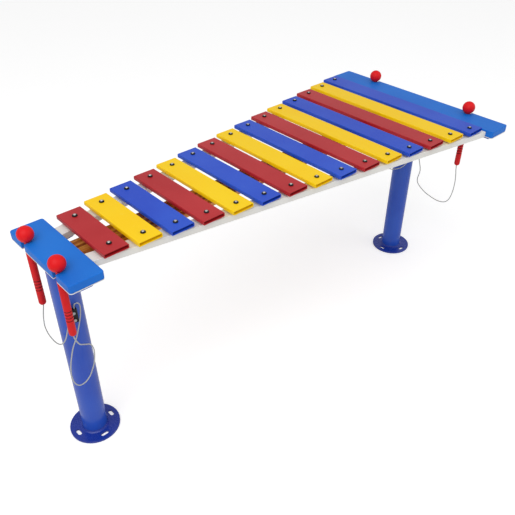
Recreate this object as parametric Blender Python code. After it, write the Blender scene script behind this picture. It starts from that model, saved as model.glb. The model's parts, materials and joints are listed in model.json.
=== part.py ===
"""Outdoor metallophone for standing players.

Fifteen hollow aluminium bars are bolted to two splayed rails. The rails run between two end boards,
a timber plank ties the two legs under them, and four tethered mallets hang in notches in the boards.
Metres, +Z up. The short bars are at -X, the long bars at +X, and the ground is at Z = 0.
"""
import math

import bmesh
import bpy
from mathutils import Matrix, Vector

# Clearance left between pieces that touch, and how far a cutter runs past a face
GAP = 0.0003
OVERRUN = 0.010

# Bars
BAR_COUNT = 15
PITCH = 0.107
BAR_WIDTH = 0.085
BAR_HEIGHT = 0.015
BAR_WALL = 0.0025
BAR_CORNER = 0.002
BAR_INNER_CORNER = 0.0008
BAR_TOP = 0.806
SHORTEST_BAR = 0.284
LONGEST_BAR = 0.785
SHORTEST_BOLT_SPAN = 0.2016
LONGEST_BOLT_SPAN = 0.7220
BAR_BOTTOM = BAR_TOP - BAR_HEIGHT
HALF_ROW = (BAR_COUNT - 1) / 2 * PITCH

# Rubber strips between the rails and the bars
CUSHION_WIDTH = 0.024
CUSHION_END_X = 0.800

# Rails under the bolts
RAIL_TOP = 0.782
RAIL_BOTTOM = 0.758
RAIL_TO_INSIDE = 0.022
RAIL_TO_OUTSIDE = 0.027
RAIL_END_X = 0.8175
RAIL_EDGE = 0.0015

# End boards with their backing plates
BOARD_TOP = 0.788
BOARD_BOTTOM = 0.761
BOARD_X = 0.8745
BOARD_WIDTH = 0.112
SHORT_BOARD = 0.3735
LONG_BOARD = 0.858
BOARD_CORNER = 0.009
BOARD_EDGE = 0.0025
NOTCH_WIDTH = 0.022
BACKING_BOTTOM = RAIL_BOTTOM
BACKING_INSET = 0.0005

# Legs and feet
LEG_X = 0.8705
LEG_RADIUS = 0.04445
LEG_WALL = 0.0032
LEG_SIDES = 32
FLANGE_RADIUS = 0.090
FLANGE_THICKNESS = 0.008
FLANGE_EDGE = 0.0008
FLANGE_SIDES = 36
WELD_LEG = 0.007
WELD_DIP = 0.00245
WELD_CLEARANCE = 0.0006
SLOT_LENGTH = 0.030
SLOT_WIDTH = 0.014
SLOT_CIRCLE_RADIUS = 0.067

# Steel and timber under the boards
PLANK_TOP = RAIL_BOTTOM - GAP
PLANK_THICKNESS = 0.020
PLANK_WIDTH = 0.110
PLANK_EDGE = 0.002
PLANK_BOTTOM = PLANK_TOP - PLANK_THICKNESS
TOP_PLATE_THICKNESS = 0.008
TOP_PLATE_TOP = PLANK_BOTTOM - GAP
TOP_PLATE_BOTTOM = TOP_PLATE_TOP - TOP_PLATE_THICKNESS
TOP_PLATE_INWARD = 0.075
TOP_PLATE_OUTWARD = 0.045
TOP_PLATE_HALF_WIDTH = 0.050
TOP_PLATE_EDGE = 0.001
CROSSBAR_WIDTH = 0.040
CROSSBAR_WALL = 0.0025
CROSSBAR_CORNER = 0.002
CROSSBAR_INNER_CORNER = 0.001
SHORT_CROSSBAR = 0.330
LONG_CROSSBAR = 0.800
BRACKET_WIDTH = 0.034
BRACKET_THICKNESS = 0.005
BRACKET_REACH = 0.776

# Holes for the fasteners
BOLT_HOLE_RADIUS = 0.0045
BOARD_HOLE_DEPTH = 0.019
BOARD_BOLT_Y_SHORT = (-0.13, 0.13)
BOARD_BOLT_Y_LONG = (-0.34, -0.13, 0.13, 0.34)
SCREW_HOLE_RADIUS = 0.0035
RAIL_SCREW_X = (0.787, 0.806)
RAIL_SCREW_HOLE_DEPTH = 0.015
PLANK_BOLT_X = 0.8245
PLANK_BOLT_Y = (-0.032, 0.032)
COUNTERBORE_RADIUS = 0.0095
COUNTERBORE_DEPTH = 0.006

# Mallets hanging in the notches
MALLET_X = 0.914
MALLET_Y_SHORT = 0.0985
MALLET_Y_LONG = 0.2515
BALL_RADIUS = 0.026
BALL_Z = 0.8123
BALL_END_ANGLE = math.radians(130)
BALL_STEPS = 7
NECK_RADIUS = 0.0095
NECK_END_RADIUS = 0.0085
NECK_TOP = BALL_Z - 0.0265
NECK_BOTTOM = BALL_Z - 0.0550
ROD_RADIUS = 0.005
ROD_TOP = BALL_Z - 0.006
MALLET_SIDES = 16
GRIP_RADIUS = 0.012
GRIP_SHOULDER_RADIUS = 0.010
GRIP_SHOULDER_HEIGHT = 0.003
GRIP_END_PROFILE = ((0.0120, 0.010), (0.0104, 0.004), (0.0060, 0.0))
GRIP_TOP = 0.7535
GRIP_BOTTOM = 0.541
GRIP_BORE_BOTTOM = 0.561
GROOVE_HEIGHTS = (0.6385, 0.6265, 0.6145, 0.6025)
GROOVE_DEPTH = 0.0012
GROOVE_HALF_WIDTH = 0.0016

# Tethers and the clamps that hold them on the legs
TETHER_RADIUS = 0.002
CLAMP_TURN = math.radians(-12)
CLAMP_Z = 0.567
CLAMP_WIDTH = 0.026
CLAMP_HEIGHT = 0.052
CLAMP_THICKNESS = 0.012
CLAMP_EDGE = 0.0015
CLAMP_BACK = -0.038
SADDLE_CLEARANCE = 0.0006
SADDLE_SIDES = 64
CLAMP_HOLE_ENDS = (-0.020, -0.080)
CLAMP_SCREW_Z = (0.553, 0.581)

# Each tether's route from its clamp to its mallet's grip
ROUTES = {
    "tether_short_front": (
        (-0.8752, -0.0511, 0.5933), (-0.8750, -0.0514, 0.6020), (-0.8722, -0.0525, 0.6095),
        (-0.8665, -0.0540, 0.6130), (-0.8607, -0.0556, 0.6095), (-0.8580, -0.0572, 0.6015),
        (-0.8595, -0.0590, 0.5850), (-0.8642, -0.0607, 0.5660), (-0.8714, -0.0621, 0.5450),
        (-0.8820, -0.0655, 0.5220), (-0.8952, -0.0685, 0.4953), (-0.9095, -0.0710, 0.4740),
        (-0.9198, -0.0728, 0.4531), (-0.9342, -0.0749, 0.4090), (-0.9415, -0.0770, 0.3657),
        (-0.9383, -0.0800, 0.3330), (-0.9259, -0.0835, 0.3141), (-0.9076, -0.0856, 0.3144),
        (-0.8890, -0.0880, 0.3300), (-0.8765, -0.0899, 0.3525), (-0.8640, -0.0920, 0.3852),
        (-0.8576, -0.0942, 0.4260), (-0.8590, -0.0955, 0.4500), (-0.8670, -0.0965, 0.4700),
        (-0.8844, -0.0984, 0.4817), (-0.9000, -0.0984, 0.4925), (-0.9090, -0.0985, 0.5120),
        (-0.9135, -0.0985, 0.5300), (-0.9140, -0.0985, 0.5407),
    ),
    "tether_short_back": (
        (-0.8870, -0.0486, 0.5933), (-0.8868, -0.0489, 0.6030), (-0.8868, -0.0508, 0.6135),
        (-0.8883, -0.0540, 0.6230), (-0.8920, -0.0578, 0.6268), (-0.8959, -0.0607, 0.6215),
        (-0.8982, -0.0622, 0.6110), (-0.9003, -0.0628, 0.5960), (-0.9032, -0.0628, 0.5790),
        (-0.9068, -0.0621, 0.5610), (-0.9115, -0.0612, 0.5430),
        (-0.9175, -0.0600, 0.5230), (-0.9255, -0.0560, 0.4980), (-0.9330, -0.0450, 0.4780),
        (-0.9375, -0.0267, 0.4650), (-0.9392, 0.0000, 0.4570), (-0.9392, 0.0250, 0.4560),
        (-0.9384, 0.0481, 0.4590), (-0.9345, 0.0749, 0.4690), (-0.9270, 0.0910, 0.4896),
        (-0.9200, 0.0965, 0.5130), (-0.9150, 0.0985, 0.5300), (-0.9140, 0.0985, 0.5407),
    ),
    "tether_long_front": (
        (0.8658, -0.0511, 0.5933), (0.8661, -0.0515, 0.6020), (0.8688, -0.0527, 0.6100),
        (0.8742, -0.0550, 0.6140), (0.8797, -0.0577, 0.6105), (0.8826, -0.0600, 0.6020),
        (0.8837, -0.0622, 0.5860), (0.8850, -0.0650, 0.5600), (0.8870, -0.0690, 0.5320),
        (0.8888, -0.0735, 0.5060), (0.8903, -0.0800, 0.4840), (0.8911, -0.0850, 0.4660),
        (0.8910, -0.0862, 0.4470), (0.8902, -0.0830, 0.4270), (0.8897, -0.0805, 0.4090),
        (0.8902, -0.0855, 0.3900),
        (0.8927, -0.1043, 0.3704), (0.8959, -0.1330, 0.3529), (0.8997, -0.1651, 0.3419),
        (0.9030, -0.1941, 0.3357), (0.9062, -0.2226, 0.3380), (0.9085, -0.2420, 0.3494),
        (0.9100, -0.2545, 0.3720), (0.9118, -0.2615, 0.4128), (0.9127, -0.2625, 0.4535),
        (0.9136, -0.2590, 0.4888), (0.9140, -0.2535, 0.5180), (0.9140, -0.2515, 0.5407),
    ),
    "tether_long_back": (
        (0.8540, -0.0486, 0.5933), (0.8536, -0.0491, 0.6020), (0.8508, -0.0508, 0.6100),
        (0.8455, -0.0530, 0.6138), (0.8400, -0.0550, 0.6103), (0.8370, -0.0562, 0.6015),
        (0.8355, -0.0570, 0.5850), (0.8336, -0.0573, 0.5610), (0.8308, -0.0563, 0.5340),
        (0.8265, -0.0515, 0.5080),
        (0.8200, -0.0390, 0.4850), (0.8135, -0.0214, 0.4680), (0.8110, 0.0000, 0.4560),
        (0.8130, 0.0214, 0.4470), (0.8210, 0.0482, 0.4400), (0.8400, 0.0800, 0.4330),
        (0.8650, 0.1150, 0.4280), (0.8870, 0.1550, 0.4290), (0.9020, 0.1950, 0.4420),
        (0.9110, 0.2260, 0.4700), (0.9140, 0.2440, 0.5030), (0.9140, 0.2505, 0.5280),
        (0.9140, 0.2515, 0.5407),
    ),
}

# The two ends of the instrument: name, side of the X axis, board length, mallet distance from the centre line
ENDS = (
    ("short", -1, SHORT_BOARD, MALLET_Y_SHORT),
    ("long", 1, LONG_BOARD, MALLET_Y_LONG),
)
SIDES = (("front", -1), ("back", 1))


def clear_scene():
    for thing in list(bpy.data.objects):
        bpy.data.objects.remove(thing, do_unlink=True)


def make_material(name, colour, roughness, metallic):
    material = bpy.data.materials.new(name)
    material.use_nodes = True
    shader = material.node_tree.nodes["Principled BSDF"]
    shader.inputs["Base Color"].default_value = (*colour, 1.0)
    shader.inputs["Roughness"].default_value = roughness
    shader.inputs["Metallic"].default_value = metallic
    return material


def bolt_line(x):
    """Distance of the bolts from the centre line at x."""
    share = (x + HALF_ROW) / (2 * HALF_ROW)
    return (SHORTEST_BOLT_SPAN + (LONGEST_BOLT_SPAN - SHORTEST_BOLT_SPAN) * share) / 2


def bar_x(index):
    return index * PITCH - HALF_ROW


def bar_length(index):
    return SHORTEST_BAR + (LONGEST_BAR - SHORTEST_BAR) * index / (BAR_COUNT - 1)


def bolt_places():
    return [(bar_x(i), side * bolt_line(bar_x(i))) for i in range(BAR_COUNT) for _, side in SIDES]


def board_bolt_places():
    short = [(-LEG_X, y) for y in BOARD_BOLT_Y_SHORT]
    return short + [(LEG_X, y) for y in BOARD_BOLT_Y_LONG]


def rail_screw_places():
    return [
        (end * x, side * bolt_line(end * x))
        for _, end, _, _ in ENDS
        for _, side in SIDES
        for x in RAIL_SCREW_X
    ]


def plank_bolt_places():
    return [(end * PLANK_BOLT_X, y) for _, end, _, _ in ENDS for y in PLANK_BOLT_Y]


# Shapes

def add_turned(bm, profile, sides, centre=(0, 0), hollow=False):
    """Turn (radius, height) points about a vertical axis at centre; a hollow profile closes on itself."""
    spot = Vector((*centre, 0))
    points = [bm.verts.new(spot + Vector((radius, 0, height))) for radius, height in profile]
    edges = [bm.edges.new(pair) for pair in zip(points, points[1:])]
    if hollow:
        edges.append(bm.edges.new((points[-1], points[0])))
    bmesh.ops.spin(
        bm, geom=points + edges, cent=spot, axis=(0, 0, 1), angle=2 * math.pi, steps=sides, use_merge=True
    )
    bmesh.ops.remove_doubles(bm, verts=bm.verts, dist=1e-6)


def add_prism(bm, outline, low, high):
    """Extrude a flat outline of (x, y) points from low to high."""
    floor = bm.faces.new([bm.verts.new((x, y, low)) for x, y in outline])
    raised = bmesh.ops.extrude_face_region(bm, geom=[floor])["geom"]
    corners = [item for item in raised if isinstance(item, bmesh.types.BMVert)]
    bmesh.ops.translate(bm, verts=corners, vec=(0, 0, high - low))


def add_section(bm, outer, inner, start, stop):
    """A hollow section of (x, z) outlines along Y; both outlines have the same number of points."""
    loops = [
        [bm.verts.new((x, y, z)) for x, z in outline]
        for outline, y in ((outer, start), (outer, stop), (inner, stop), (inner, start))
    ]
    count = len(outer)
    for near, far in zip(loops, loops[1:] + loops[:1]):
        for i in range(count):
            j = (i + 1) % count
            bm.faces.new((near[i], near[j], far[j], far[i]))


def arc(centre, radius, start, stop, steps):
    """Points on an arc, angles in degrees."""
    angles = [math.radians(start + (stop - start) * i / steps) for i in range(steps + 1)]
    return [(centre[0] + radius * math.cos(a), centre[1] + radius * math.sin(a)) for a in angles]


def rounded_box(width, height, radius, steps, middle=(0, 0)):
    """Outline of a rectangle with round corners."""
    points = []
    for quarter, (sx, sy) in enumerate(((1, 1), (-1, 1), (-1, -1), (1, -1))):
        corner = (middle[0] + sx * (width / 2 - radius), middle[1] + sy * (height / 2 - radius))
        points += arc(corner, radius, 90 * quarter, 90 * quarter + 90, steps)
    return points


def finish(bm, name, material, parent=None):
    """Make the mesh an object with outward faces, smooth where it is round."""
    bmesh.ops.recalc_face_normals(bm, faces=bm.faces)
    mesh = bpy.data.meshes.new(name)
    bm.to_mesh(mesh)
    bm.free()
    mesh.shade_smooth()
    mesh.set_sharp_from_angle(angle=math.radians(35))
    mesh.materials.append(material)
    piece = bpy.data.objects.new(name, mesh)
    piece.parent = parent
    bpy.context.collection.objects.link(piece)
    return piece


def empty(name, location, turn=0.0):
    frame = bpy.data.objects.new(name, None)
    frame.location = location
    frame.rotation_euler = (0, 0, turn)
    bpy.context.collection.objects.link(frame)
    return frame


def box(name, material, x, y, z, edge=0.0, parent=None):
    """A box between the two limits given for each axis, with its edges eased by edge."""
    bm = bmesh.new()
    add_prism(bm, ((x[0], y[0]), (x[1], y[0]), (x[1], y[1]), (x[0], y[1])), z[0], z[1])
    piece = finish(bm, name, material, parent)
    if edge:
        ease_edges(piece, edge, 1)
    return piece


def ease_edges(piece, width, segments):
    bevel = piece.modifiers.new("eased edges", "BEVEL")
    bevel.width = width
    bevel.segments = segments
    bevel.limit_method = "ANGLE"
    bevel.angle_limit = math.radians(50)


def cut(piece, cutter):
    """Take a hidden cutter's shape out of a piece."""
    cutter.hide_render = True
    cutter.display_type = "WIRE"
    boolean = piece.modifiers.new(cutter.name, "BOOLEAN")
    boolean.operation = "DIFFERENCE"
    boolean.solver = "EXACT"
    boolean.object = cutter


def hole_cutter(name, places, radius, low, high, sides=8, parent=None):
    """Round cutters standing at each place."""
    bm = bmesh.new()
    for place in places:
        add_turned(bm, ((0, low), (radius, low), (radius, high), (0, high)), sides, place)
    return finish(bm, name, MATERIALS["cutter"], parent)


# Bars, rails and their bolts

def make_bars():
    height = BAR_BOTTOM + BAR_HEIGHT / 2
    for i in range(BAR_COUNT):
        x = bar_x(i)
        half = bar_length(i) / 2
        bm = bmesh.new()
        outer = rounded_box(BAR_WIDTH, BAR_HEIGHT, BAR_CORNER, 1, (x, height))
        clear = (BAR_WIDTH - 2 * BAR_WALL, BAR_HEIGHT - 2 * BAR_WALL)
        inner = rounded_box(*clear, BAR_INNER_CORNER, 1, (x, height))
        add_section(bm, outer, inner, -half, half)
        bar = finish(bm, f"bar_{i + 1:02d}", MATERIALS[("bar red", "bar yellow", "bar blue")[i % 3]])
        places = [(x, side * bolt_line(x)) for _, side in SIDES]
        ends = (BAR_BOTTOM - OVERRUN, BAR_TOP + OVERRUN)
        cut(bar, hole_cutter(f"holes in bar {i + 1}", places, BOLT_HOLE_RADIUS, *ends))


def make_rails():
    for name, side in SIDES:
        ends = ((-RAIL_END_X, bolt_line(-RAIL_END_X)), (RAIL_END_X, bolt_line(RAIL_END_X)))
        inside = [(x, side * (y - RAIL_TO_INSIDE)) for x, y in ends]
        outside = [(x, side * (y + RAIL_TO_OUTSIDE)) for x, y in reversed(ends)]
        bm = bmesh.new()
        add_prism(bm, inside + outside, RAIL_BOTTOM, RAIL_TOP)
        rail = finish(bm, f"rail_{name}", MATERIALS["rail"])
        ease_edges(rail, RAIL_EDGE, 1)
        bolts = [place for place in bolt_places() if place[1] * side > 0]
        low = RAIL_BOTTOM - OVERRUN
        cut(rail, hole_cutter(f"bolt holes in {name} rail", bolts, BOLT_HOLE_RADIUS, low, RAIL_TOP + OVERRUN))
        screws = [place for place in rail_screw_places() if place[1] * side > 0]
        top = RAIL_BOTTOM + RAIL_SCREW_HOLE_DEPTH
        cut(rail, hole_cutter(f"screw holes in {name} rail", screws, SCREW_HOLE_RADIUS, low, top))


# End boards

def board_outline(end, length, mallet_y, inset=0.0):
    """Outline of a board with round corners and an open notch for each mallet in its outer edge."""
    half = length / 2 - inset
    inner = BOARD_X - BOARD_WIDTH / 2 + inset
    outer = BOARD_X + BOARD_WIDTH / 2 - inset
    corner = BOARD_CORNER - inset
    notch = NOTCH_WIDTH / 2 + inset
    points = arc((inner + corner, half - corner), corner, 90, 180, 4)
    points += arc((inner + corner, -half + corner), corner, 180, 270, 4)
    points += arc((outer - corner, -half + corner), corner, 270, 360, 4)
    for y in (-mallet_y, mallet_y):
        points += [(outer, y - notch)]
        points += arc((MALLET_X, y), notch, 270, 90, 8)
        points += [(outer, y + notch)]
    points += arc((outer - corner, half - corner), corner, 0, 90, 4)
    return [(end * x, y) for x, y in points]


def make_cushions():
    """A rubber strip on each rail, so that the bars ring."""
    for name, side in SIDES:
        ends = ((-CUSHION_END_X, bolt_line(-CUSHION_END_X)), (CUSHION_END_X, bolt_line(CUSHION_END_X)))
        inside = [(x, side * (y - CUSHION_WIDTH / 2)) for x, y in ends]
        outside = [(x, side * (y + CUSHION_WIDTH / 2)) for x, y in reversed(ends)]
        bm = bmesh.new()
        add_prism(bm, inside + outside, RAIL_TOP + GAP, BAR_BOTTOM - GAP)
        cushion = finish(bm, f"bar_cushion_{name}", MATERIALS["black rubber"])
        bolts = [place for place in bolt_places() if place[1] * side > 0]
        ends = (RAIL_TOP - OVERRUN, BAR_BOTTOM + OVERRUN)
        cut(cushion, hole_cutter(f"bolt holes in {name} cushion", bolts, BOLT_HOLE_RADIUS, *ends))


def make_boards():
    for name, end, length, mallet_y in ENDS:
        bolts = [place for place in board_bolt_places() if place[0] * end > 0]
        bm = bmesh.new()
        add_prism(bm, board_outline(end, length, mallet_y), BOARD_BOTTOM, BOARD_TOP)
        board = finish(bm, f"end_board_{name}", MATERIALS["board"])
        ease_edges(board, BOARD_EDGE, 2)
        low = BACKING_BOTTOM - OVERRUN
        top = BOARD_BOTTOM + BOARD_HOLE_DEPTH
        cut(board, hole_cutter(f"inserts in {name} board", bolts, BOLT_HOLE_RADIUS, low, top))
        bm = bmesh.new()
        add_prism(bm, board_outline(end, length, mallet_y, BACKING_INSET), BACKING_BOTTOM, BOARD_BOTTOM - GAP)
        plate = finish(bm, f"backing_plate_{name}", MATERIALS["backing plate"])
        cut(plate, hole_cutter(f"holes in {name} backing plate", bolts, BOLT_HOLE_RADIUS, low, top))


# Legs, feet and the steel that carries the boards

def make_legs():
    for name, end, _, _ in ENDS:
        axis = (end * LEG_X, 0)
        bm = bmesh.new()
        low = FLANGE_THICKNESS + GAP
        high = TOP_PLATE_BOTTOM - GAP
        bore = LEG_RADIUS - LEG_WALL
        profile = ((bore, low), (LEG_RADIUS, low), (LEG_RADIUS, high), (bore, high))
        add_turned(bm, profile, LEG_SIDES, axis, hollow=True)
        leg = finish(bm, f"leg_{name}", MATERIALS["leg"])
        cut(leg, clamp_screw_cutter(f"clamp screw holes in {name} leg", end))
        make_foot(name, end)


def make_foot(name, end):
    """A base flange with its weld round the leg and four slots for anchor bolts."""
    edge = FLANGE_EDGE
    throat = LEG_RADIUS + WELD_CLEARANCE
    profile = (
        (0, 0), (FLANGE_RADIUS - edge, 0), (FLANGE_RADIUS, edge), (FLANGE_RADIUS, FLANGE_THICKNESS - edge),
        (FLANGE_RADIUS - edge, FLANGE_THICKNESS), (throat + WELD_LEG, FLANGE_THICKNESS),
        (throat + WELD_DIP, FLANGE_THICKNESS + WELD_DIP), (throat, FLANGE_THICKNESS + WELD_LEG),
        (throat, FLANGE_THICKNESS), (0, FLANGE_THICKNESS),
    )
    bm = bmesh.new()
    add_turned(bm, profile, FLANGE_SIDES, (end * LEG_X, 0))
    flange = finish(bm, f"foot_flange_{name}", MATERIALS["leg"])
    bm = bmesh.new()
    for quarter in range(4):
        outline = rounded_box(SLOT_WIDTH, SLOT_LENGTH, SLOT_WIDTH / 2, 3, (SLOT_CIRCLE_RADIUS, 0))
        turn = Matrix.Rotation(quarter * math.pi / 2, 2)
        turned = [turn @ Vector(point) for point in outline]
        add_prism(bm, [(end * LEG_X + x, y) for x, y in turned], -OVERRUN, FLANGE_THICKNESS + OVERRUN)
    bmesh.ops.remove_doubles(bm, verts=bm.verts, dist=1e-6)
    cut(flange, finish(bm, f"anchor slots in {name} flange", MATERIALS["cutter"]))


def make_top_steel():
    for name, end, _, _ in ENDS:
        bolts = [place for place in plank_bolt_places() if place[0] * end > 0]
        inner = end * (LEG_X - TOP_PLATE_INWARD)
        outer = end * (LEG_X + TOP_PLATE_OUTWARD)
        half = TOP_PLATE_HALF_WIDTH
        span = (min(inner, outer), max(inner, outer))
        plate = box(
            f"top_plate_{name}", MATERIALS["leg"], span, (-half, half), (TOP_PLATE_BOTTOM, TOP_PLATE_TOP),
            TOP_PLATE_EDGE,
        )
        ends = (TOP_PLATE_BOTTOM - OVERRUN, TOP_PLATE_TOP + OVERRUN)
        cut(plate, hole_cutter(f"bolt holes in {name} top plate", bolts, BOLT_HOLE_RADIUS, *ends))
        make_crossbar(name, end)
        for side_name, side in SIDES:
            make_rail_bracket(name, end, side_name, side)


def make_crossbar(name, end):
    """A box section across the leg, level with the plank, that carries the board and the brackets."""
    half = (SHORT_CROSSBAR if end < 0 else LONG_CROSSBAR) / 2
    middle = (end * LEG_X, PLANK_TOP - PLANK_THICKNESS / 2)
    bm = bmesh.new()
    clear = (CROSSBAR_WIDTH - 2 * CROSSBAR_WALL, PLANK_THICKNESS - 2 * CROSSBAR_WALL)
    outer = rounded_box(CROSSBAR_WIDTH, PLANK_THICKNESS, CROSSBAR_CORNER, 1, middle)
    inner = rounded_box(*clear, CROSSBAR_INNER_CORNER, 1, middle)
    add_section(bm, outer, inner, -half, half)
    crossbar = finish(bm, f"crossbar_{name}", MATERIALS["leg"])
    bolts = [place for place in board_bolt_places() if place[0] * end > 0]
    ends = (PLANK_BOTTOM - OVERRUN, PLANK_TOP + OVERRUN)
    cut(crossbar, hole_cutter(f"bolt holes in {name} crossbar", bolts, BOLT_HOLE_RADIUS, *ends))


def make_rail_bracket(name, end, side_name, side):
    """A flat bar from the crossbar to the underside of a rail's end, in line with the rail."""
    near = LEG_X - CROSSBAR_WIDTH / 2 - GAP
    half = BRACKET_WIDTH / 2
    ends = [(end * x, side * bolt_line(end * x)) for x in (BRACKET_REACH, near)]
    outline = [(x, y - half) for x, y in ends] + [(x, y + half) for x, y in reversed(ends)]
    bm = bmesh.new()
    add_prism(bm, outline, PLANK_TOP - BRACKET_THICKNESS, PLANK_TOP)
    bracket = finish(bm, f"rail_bracket_{name}_{side_name}", MATERIALS["leg"])
    places = [place for place in rail_screw_places() if place[0] * end > 0 and place[1] * side > 0]
    ends = (PLANK_BOTTOM, PLANK_TOP + OVERRUN)
    cut(bracket, hole_cutter(f"screw holes in {name} {side_name} bracket", places, SCREW_HOLE_RADIUS, *ends))


def make_plank():
    half_length = LEG_X - CROSSBAR_WIDTH / 2 - GAP
    half_width = PLANK_WIDTH / 2
    plank = box(
        "spine_plank", MATERIALS["plank"], (-half_length, half_length), (-half_width, half_width),
        (PLANK_BOTTOM, PLANK_TOP), PLANK_EDGE,
    )
    places = plank_bolt_places()
    above = PLANK_TOP + OVERRUN
    cut(plank, hole_cutter("bolt holes in plank", places, BOLT_HOLE_RADIUS, PLANK_BOTTOM - OVERRUN, above))
    floor = PLANK_TOP - COUNTERBORE_DEPTH
    cut(plank, hole_cutter("counterbores in plank", places, COUNTERBORE_RADIUS, floor, above, 12))


# Mallets and tethers

def make_mallet(end_name, end, side_name, side, mallet_y):
    """Head, rod and grip, hung on an empty at the ball's centre."""
    label = f"{end_name}_{side_name}"
    hanger = empty(f"mallet {label}", (end * MALLET_X, side * mallet_y, BALL_Z))
    bore = ROD_RADIUS + GAP

    ball = [
        (BALL_RADIUS * math.sin(a), BALL_RADIUS * math.cos(a))
        for a in (BALL_END_ANGLE * i / BALL_STEPS for i in range(1, BALL_STEPS + 1))
    ]
    neck = [(NECK_RADIUS, NECK_TOP - BALL_Z), (NECK_END_RADIUS, NECK_BOTTOM - BALL_Z)]
    socket = [(bore, NECK_BOTTOM - BALL_Z), (bore, ROD_TOP - BALL_Z + GAP), (0, ROD_TOP - BALL_Z + GAP)]
    bm = bmesh.new()
    add_turned(bm, [(0, BALL_RADIUS)] + ball + neck + socket, MALLET_SIDES)
    finish(bm, f"mallet_head_{label}", MATERIALS["mallet head"], hanger)

    bm = bmesh.new()
    low = GRIP_BORE_BOTTOM + GAP - BALL_Z
    high = ROD_TOP - BALL_Z
    add_turned(bm, ((0, low), (ROD_RADIUS, low), (ROD_RADIUS, high), (0, high)), MALLET_SIDES)
    finish(bm, f"mallet_rod_{label}", MATERIALS["rod"], hanger)

    outside = [
        (bore, GRIP_TOP), (GRIP_SHOULDER_RADIUS, GRIP_TOP), (GRIP_RADIUS, GRIP_TOP - GRIP_SHOULDER_HEIGHT),
    ]
    for height in GROOVE_HEIGHTS:
        outside += [
            (GRIP_RADIUS, height + GROOVE_HALF_WIDTH), (GRIP_RADIUS - GROOVE_DEPTH, height),
            (GRIP_RADIUS, height - GROOVE_HALF_WIDTH),
        ]
    outside += [(radius, GRIP_BOTTOM + height) for radius, height in GRIP_END_PROFILE]
    outside.append((0, GRIP_BOTTOM))
    profile = [(0, GRIP_BORE_BOTTOM), (bore, GRIP_BORE_BOTTOM)] + outside
    bm = bmesh.new()
    add_turned(bm, [(radius, z - BALL_Z) for radius, z in profile], MALLET_SIDES)
    finish(bm, f"mallet_grip_{label}", MATERIALS["mallet grip"], hanger)


def make_tether(name, route):
    """A tube through the route's points, which lie closer together where it bends."""
    curve = bpy.data.curves.new(name, "CURVE")
    curve.dimensions = "3D"
    curve.bevel_depth = TETHER_RADIUS
    curve.bevel_resolution = 2
    curve.use_fill_caps = True
    line = curve.splines.new("POLY")
    line.points.add(len(route) - 1)
    for spot, point in zip(line.points, route):
        spot.co = (*point, 1.0)
    curve.materials.append(MATERIALS["wire rope"])
    tether = bpy.data.objects.new(name, curve)
    bpy.context.collection.objects.link(tether)


def clamp_screw_cutter(name, end):
    """Holes for a clamp's two screws, square to the leg's wall."""
    bm = bmesh.new()
    for z in CLAMP_SCREW_Z:
        add_cross_pin(bm, SCREW_HOLE_RADIUS, *CLAMP_HOLE_ENDS, z, 8)
    frame = empty(name + " frame", (end * LEG_X, 0, 0), CLAMP_TURN)
    return finish(bm, name, MATERIALS["cutter"], frame)


def add_cross_pin(bm, radius, start, stop, z, sides):
    """A round pin along Y between start and stop at height z."""
    length = abs(stop - start)
    place = Matrix.Translation((0, (start + stop) / 2, z)) @ Matrix.Rotation(math.pi / 2, 4, "X")
    bmesh.ops.create_cone(
        bm, cap_ends=True, segments=sides, radius1=radius, radius2=radius, depth=length, matrix=place
    )


def make_clamps():
    face = -(LEG_RADIUS + CLAMP_THICKNESS)
    for name, end, _, _ in ENDS:
        frame = empty(f"clamp {name}", (end * LEG_X, 0, 0), CLAMP_TURN)
        half = CLAMP_WIDTH / 2
        low = CLAMP_Z - CLAMP_HEIGHT / 2
        high = CLAMP_Z + CLAMP_HEIGHT / 2
        clamp = box(
            f"tether_clamp_{name}", MATERIALS["black steel"], (-half, half), (face, CLAMP_BACK), (low, high),
            CLAMP_EDGE, frame,
        )
        saddle = LEG_RADIUS + SADDLE_CLEARANCE
        ends = (low - OVERRUN, high + OVERRUN)
        cut(clamp, hole_cutter(f"saddle of {name} clamp", [(0, 0)], saddle, *ends, SADDLE_SIDES, frame))
        cut(clamp, clamp_screw_cutter(f"screw holes in {name} clamp", end))


clear_scene()
MATERIALS = {
    "bar red": make_material("bar red", (0.46, 0.045, 0.05), 0.4, 0.3),
    "bar yellow": make_material("bar yellow", (0.93, 0.62, 0.03), 0.4, 0.3),
    "bar blue": make_material("bar blue", (0.06, 0.12, 0.60), 0.4, 0.3),
    "rail": make_material("rail", (0.64, 0.62, 0.58), 0.5, 0.0),
    "plank": make_material("plank", (0.38, 0.16, 0.03), 0.6, 0.0),
    "board": make_material("board", (0.02, 0.15, 0.62), 0.45, 0.0),
    "backing plate": make_material("backing plate", (0.75, 0.74, 0.68), 0.5, 0.0),
    "leg": make_material("leg", (0.05, 0.09, 0.48), 0.35, 0.2),
    "black steel": make_material("black steel", (0.02, 0.02, 0.02), 0.3, 0.8),
    "black rubber": make_material("black rubber", (0.02, 0.02, 0.02), 0.8, 0.0),
    "mallet head": make_material("mallet head", (0.62, 0.01, 0.012), 0.4, 0.0),
    "mallet grip": make_material("mallet grip", (0.55, 0.01, 0.012), 0.5, 0.0),
    "rod": make_material("rod", (0.5, 0.02, 0.02), 0.5, 0.0),
    "wire rope": make_material("wire rope", (0.5, 0.5, 0.48), 0.4, 0.9),
    "cutter": make_material("cutter", (1.0, 0.0, 1.0), 0.5, 0.0),
}

make_bars()
make_rails()
make_cushions()
make_boards()
make_legs()
make_top_steel()
make_plank()
make_clamps()
for end_label, end_side, _, distance in ENDS:
    for side_label, side_sign in SIDES:
        make_mallet(end_label, end_side, side_label, side_sign, distance)
for tether_name, tether_route in ROUTES.items():
    make_tether(tether_name, tether_route)
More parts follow.
